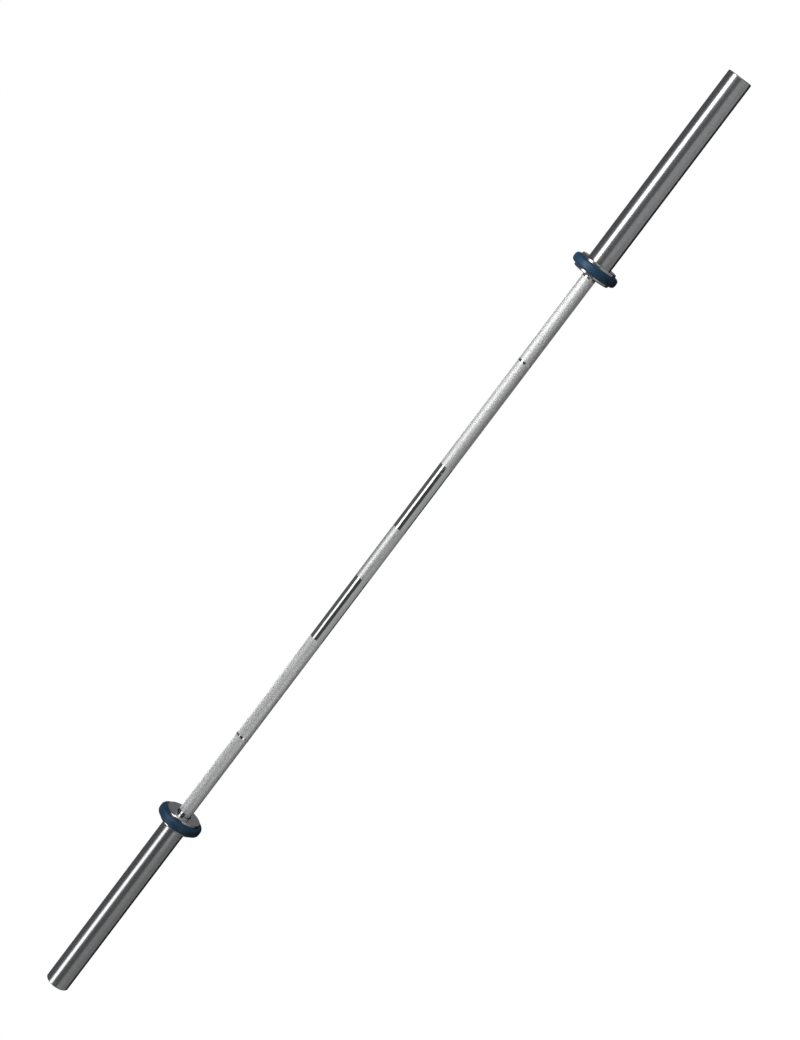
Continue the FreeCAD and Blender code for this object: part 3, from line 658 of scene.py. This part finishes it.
link(nitrile_rubber, bump.outputs["Normal"], shader.inputs["Normal"])

for side in SIDES:
    dress(f"shaft_seal_{side}", nitrile_rubber)


# A plain disc of aluminium closes each sleeve's mouth, and a circlip of spring steel in the mouth's groove
# holds it in. The disc is faced on a lathe and left bare.

# Faced aluminium: pale and silky, with rings about its middle that catch the light in a fan, too fine at
# 0.1 mm and so drawn at 0.7 mm
faced_aluminium, shader, place = new_material("lathe_faced_aluminium")
cut_spacing = 0.7 * MM
cut_depth = 0.03 * MM
axes = add_node(faced_aluminium, "SeparateXYZ", {"Vector": place})
across = add_node(faced_aluminium, "CombineXYZ", {"Y": axes.outputs["Y"], "Z": axes.outputs["Z"]})
reach = add_node(faced_aluminium, "VectorMath", {0: across.outputs["Vector"]}, operation="LENGTH")
cuts = add_node(faced_aluminium, "TexNoise", {
    "W": reach.outputs["Value"], "Scale": 1 / cut_spacing, "Detail": 2.0}, noise_dimensions="1D")
tone = add_node(faced_aluminium, "Mix", {
    "Factor": cuts.outputs["Fac"], "A": linear("#c3c6ca"), "B": linear("#d9dbde")}, data_type="RGBA")
dull = add_node(faced_aluminium, "MapRange", {
    "Value": cuts.outputs["Fac"], **NOISE_SPAN, "To Min": 0.24, "To Max": 0.36})
bump = add_node(faced_aluminium, "Bump", {
    "Height": cuts.outputs["Fac"], "Strength": 0.3, "Distance": cut_depth})
shader.inputs["Metallic"].default_value = 1.0
link(faced_aluminium, tone.outputs["Result"], shader.inputs["Base Color"])
link(faced_aluminium, dull.outputs["Result"], shader.inputs["Roughness"])
link(faced_aluminium, bump.outputs["Normal"], shader.inputs["Normal"])

for side in SIDES:
    dress(f"end_cap_{side}", faced_aluminium)
    dress(f"end_circlip_{side}", phosphated_steel)


# The floor is a wide pale sheet far below the bar, which a rack would hold at chest height. The camera, and
# the metal with it, sees floor and surroundings as plain white.
floor_drop = 1.25
floor_reach = 40.0
floor_mesh = bpy.data.meshes.new("floor")
floor_corners = [(x, y, -floor_drop) for x, y in ((-1, -1), (1, -1), (1, 1), (-1, 1))]
floor_mesh.from_pydata(np.array(floor_corners) * (floor_reach, floor_reach, 1), [], [(0, 1, 2, 3)])
floor = bpy.data.objects.new("floor", floor_mesh)
bpy.context.scene.collection.objects.link(floor)


def seen_directly(owner):
    """1 for camera rays and for reflected and refracted ones, 0 for those that only light things."""
    path = add_node(owner, "LightPath", {})
    mirrored = add_node(owner, "Math", {
        0: path.outputs["Is Camera Ray"], 1: path.outputs["Is Glossy Ray"]}, operation="ADD")
    refracted = path.outputs["Is Transmission Ray"]
    return add_node(owner, "Math", {
        0: mirrored.outputs["Value"], 1: refracted}, operation="ADD", use_clamp=True)


pale_floor = bpy.data.materials.new("pale_floor")
pale_floor.use_nodes = True
pale_floor.node_tree.nodes.clear()
matt = add_node(pale_floor, "BsdfDiffuse", {"Color": linear("#9c9c9c")})
glow = add_node(pale_floor, "Emission", {"Strength": seen_directly(pale_floor).outputs["Value"]})
both = add_node(pale_floor, "AddShader", {0: matt.outputs["BSDF"], 1: glow.outputs["Emission"]})
add_node(pale_floor, "OutputMaterial", {"Surface": both.outputs["Shader"]})
floor_mesh.materials.append(pale_floor)

world = bpy.data.worlds.new("white_surroundings")
bpy.context.scene.world = world
world.use_nodes = True
sky = world.node_tree.nodes["Background"]
sky.inputs["Color"].default_value = (1, 1, 1, 1)
world.node_tree.links.new(seen_directly(world).outputs["Value"], sky.inputs["Strength"])


# Curved cards stand round the bar, out of the camera's sight, as on a table for photographing metal. They
# give the chrome its dark bands and the grey of its lower half, and leave a gap for the light overhead. The
# grips and the ring marks have cards of their own, because knurl and mirror need different greys.
CARD_RADIUS = 1.2
CARD_STEPS = 24
FAR_LEFT, FAR_RIGHT = -12.0, 12.0
# Each card's first and last angle round the bar, from the camera's side of the horizon up, its left and
# right end along the bar, its grey and its strength
CARDS = {
    "front_card_left": (-1, 50, FAR_LEFT, -1.1, "#636363", 1.0),
    "front_card_left_grip": (50, 57, -1.05, -0.6, "#484848", 1.0),
    "front_card_left_outer": (-1, 50, -1.1, -0.82, "#303030", 1.0),
    "front_card_left_inner": (-1, 50, -0.82, -0.6, "#848484", 1.0),
    "front_card_middle": (-1, 50, -0.6, 0.0, "#484848", 1.0),
    "front_card_right_inner": (-1, 50, 0.0, 0.26, "#a4a4a4", 1.0),
    "front_card_right_mark": (-1, 50, 0.26, 0.335, "#484848", 1.0),
    "front_card_right_outer": (-1, 50, 0.335, 0.55, "#747474", 1.0),
    "front_card_right": (-1, 50, 0.55, FAR_RIGHT, "#6b6b6b", 1.0),
    "top_card_left_grip": (75, 84, -1.05, -0.6, "#484848", 1.0),
    "back_card": (84, 184, FAR_LEFT, FAR_RIGHT, "#656567", 1.0),
    "far_card": (184, 206, FAR_LEFT, FAR_RIGHT, "#7e7e80", 1.0),
    "under_card": (206, 262, FAR_LEFT, FAR_RIGHT, "#242424", 1.0),
    "lower_card_left": (262, 310, FAR_LEFT, -1.05, "#8c8c8c", 1.0),
    "lower_card_left_outer": (262, 333, -1.05, -0.9, "#101010", 1.0),
    "lower_card_left_mark": (262, 333, -0.9, -0.82, "#9c9c9c", 1.0),
    "lower_card_left_inner": (262, 333, -0.82, -0.6, "#101010", 1.0),
    "lower_card_middle": (262, 310, -0.6, 0.0, "#a2a2a2", 1.0),
    "lower_card_right_inner": (262, 325, 0.0, 0.26, "#606060", 1.0),
    "lower_card_right_mark": (262, 310, 0.26, 0.335, "#a2a2a2", 1.0),
    "lower_card_right_outer": (262, 325, 0.335, 0.55, "#303030", 1.0),
    "lower_card_right": (262, 310, 0.55, FAR_RIGHT, "#a2a2a2", 1.0),
    "floor_card_left": (310, 359, FAR_LEFT, -1.05, "#9c9c9c", 1.0),
    "floor_card_left_outer": (333, 359, -1.05, -0.82, "#ffffff", 1.2),
    "floor_card_left_inner": (333, 359, -0.82, -0.6, "#ffffff", 1.4),
    "floor_card_middle": (310, 359, -0.6, 0.0, "#b0b0b0", 1.0),
    "floor_card_right_inner": (325, 359, 0.0, 0.26, "#b0b0b0", 1.0),
    "floor_card_right_mark": (310, 359, 0.26, 0.335, "#b0b0b0", 1.0),
    "floor_card_right_outer": (325, 359, 0.335, 0.55, "#b0b0b0", 1.0),
    "floor_card_right": (310, 359, 0.55, FAR_RIGHT, "#b0b0b0", 1.0),
}
for name, (first, last, left, right, grey, strength) in CARDS.items():
    angle = np.radians(np.linspace(first, last, CARD_STEPS + 1))
    arc = np.stack((-np.cos(angle), np.sin(angle)), axis=-1) * CARD_RADIUS
    edges = [np.insert(arc, 0, end, axis=1) for end in (left, right)]
    row = np.arange(CARD_STEPS)
    faces = np.stack((row, row + 1, row + CARD_STEPS + 2, row + CARD_STEPS + 1), axis=-1)
    card_mesh = bpy.data.meshes.new(name)
    card_mesh.from_pydata(np.concatenate(edges), [], faces)
    card = bpy.data.objects.new(name, card_mesh)
    bpy.context.scene.collection.objects.link(card)
    card_material = bpy.data.materials.new(name)
    card_material.use_nodes = True
    card_material.node_tree.nodes.clear()
    glow = add_node(card_material, "Emission", {"Color": linear(grey), "Strength": strength})
    add_node(card_material, "OutputMaterial", {"Surface": glow.outputs["Emission"]})
    card_mesh.materials.append(card_material)
    card.visible_camera = False
    card.visible_diffuse = False
    card.visible_shadow = False


# A row of soft panels hangs over the bar, a little to the camera's side, and draws the white stripe along
# the chrome. It is dimmest over the left grip.
PANEL_DISTANCE = 1.6
PANEL_DEGREES = 66
PANEL_WIDTH = 0.56


def hang_light(name, distance, degrees, width, start, end, strength):
    """An area lamp along the bar that faces its axis, raised round it from the camera's side by an angle."""
    lamp = bpy.data.lights.new(name, "AREA")
    lamp.shape = "RECTANGLE"
    lamp.size = end - start
    lamp.size_y = width
    lamp.energy = strength * lamp.size * lamp.size_y
    hung = bpy.data.objects.new(name, lamp)
    rise = math.radians(degrees)
    hung.location = ((start + end) / 2, -distance * math.cos(rise), distance * math.sin(rise))
    hung.rotation_euler = (math.pi / 2 - rise, 0, 0)
    hung.visible_camera = False
    bpy.context.scene.collection.objects.link(hung)
    return hung


# Each panel's left and right end along the bar, and its power for each square metre
PANELS = (
    (-2.2, -1.22, 6.0),
    (-1.22, -0.9, 0.1),
    (-0.9, -0.66, 1.3),
    (-0.66, -0.46, 2.8),
    (-0.46, -0.29, 13.0),
    (-0.29, 0.0, 6.3),
    (0.0, 0.55, 11.2),
    (0.55, 2.6, 13.0),
)
for start, end, strength in PANELS:
    hang_light("softbox", PANEL_DISTANCE, PANEL_DEGREES, PANEL_WIDTH, start, end, strength)


# Four strip lights behind the bar brighten the far edge of its grips, and two below it the right grip's
# lower edge, with gaps for the ring marks. They are flagged off all but the shaft, so that they don't whiten
# the sleeves' edges.
STRIP_DISTANCE = 1.03
# Each strip's angle and width round the bar, left and right end along it, and power for each square metre
STRIPS = (
    (142, 1.15, -1.05, -0.89, 8.0),
    (142, 1.15, -0.775, -0.6, 11.0),
    (142, 1.15, 0.05, 0.25, 2.1),
    (142, 1.15, 0.36, 0.53, 0.3),
    (236, 0.7, 0.05, 0.25, 2.0),
    (236, 0.7, 0.36, 0.53, 2.2),
)
shaft_alone = bpy.data.collections.new("shaft_alone")
shaft_alone.objects.link(shaft)
for degrees, width, start, end, strength in STRIPS:
    strip = hang_light("rim_strip", STRIP_DISTANCE, degrees, width, start, end, strength)
    strip.light_linking.receiver_collection = shaft_alone


# The camera stands in front of the bar's right half, a little above it, and is rolled so that the bar runs
# up to the right. Its lens and place are worked out from the photograph's perspective.
PHOTO_HEIGHT = 1040
FOCAL_PIXELS = 2388
BAR_SLOPE_DEG = 52.974
BAR_TILT_DEG = 12.30
CAMERA_HEIGHT_DEG = 17.0
BAR_DEPTH = 4.5233
BAR_MIDDLE_ALONG = -0.0718
BAR_MIDDLE_ACROSS = 0.0094
SENSOR_MM = 36.0
tilt, height, slope = (math.radians(value) for value in (BAR_TILT_DEG, CAMERA_HEIGHT_DEG, BAR_SLOPE_DEG))
forward = Vector((
    -math.sin(tilt), math.cos(tilt) * math.cos(height), -math.cos(tilt) * math.sin(height)))
along_bar = (Vector((1, 0, 0)) + math.sin(tilt) * forward).normalized()
across_bar = forward.cross(along_bar)
right = math.cos(slope) * along_bar + math.sin(slope) * across_bar
down = math.cos(slope) * across_bar - math.sin(slope) * along_bar
lens = bpy.data.cameras.new("camera")
lens.sensor_width = SENSOR_MM
lens.lens = SENSOR_MM * FOCAL_PIXELS / PHOTO_HEIGHT
camera = bpy.data.objects.new("camera", lens)
turn = Matrix((right, -down, -forward)).transposed()
stand = -(BAR_MIDDLE_ALONG * along_bar + BAR_MIDDLE_ACROSS * across_bar + BAR_DEPTH * forward)
camera.matrix_world = Matrix.Translation(stand) @ turn.to_4x4()
bpy.context.scene.collection.objects.link(camera)
bpy.context.scene.camera = camera
bpy.context.scene.view_settings.view_transform = "Standard"
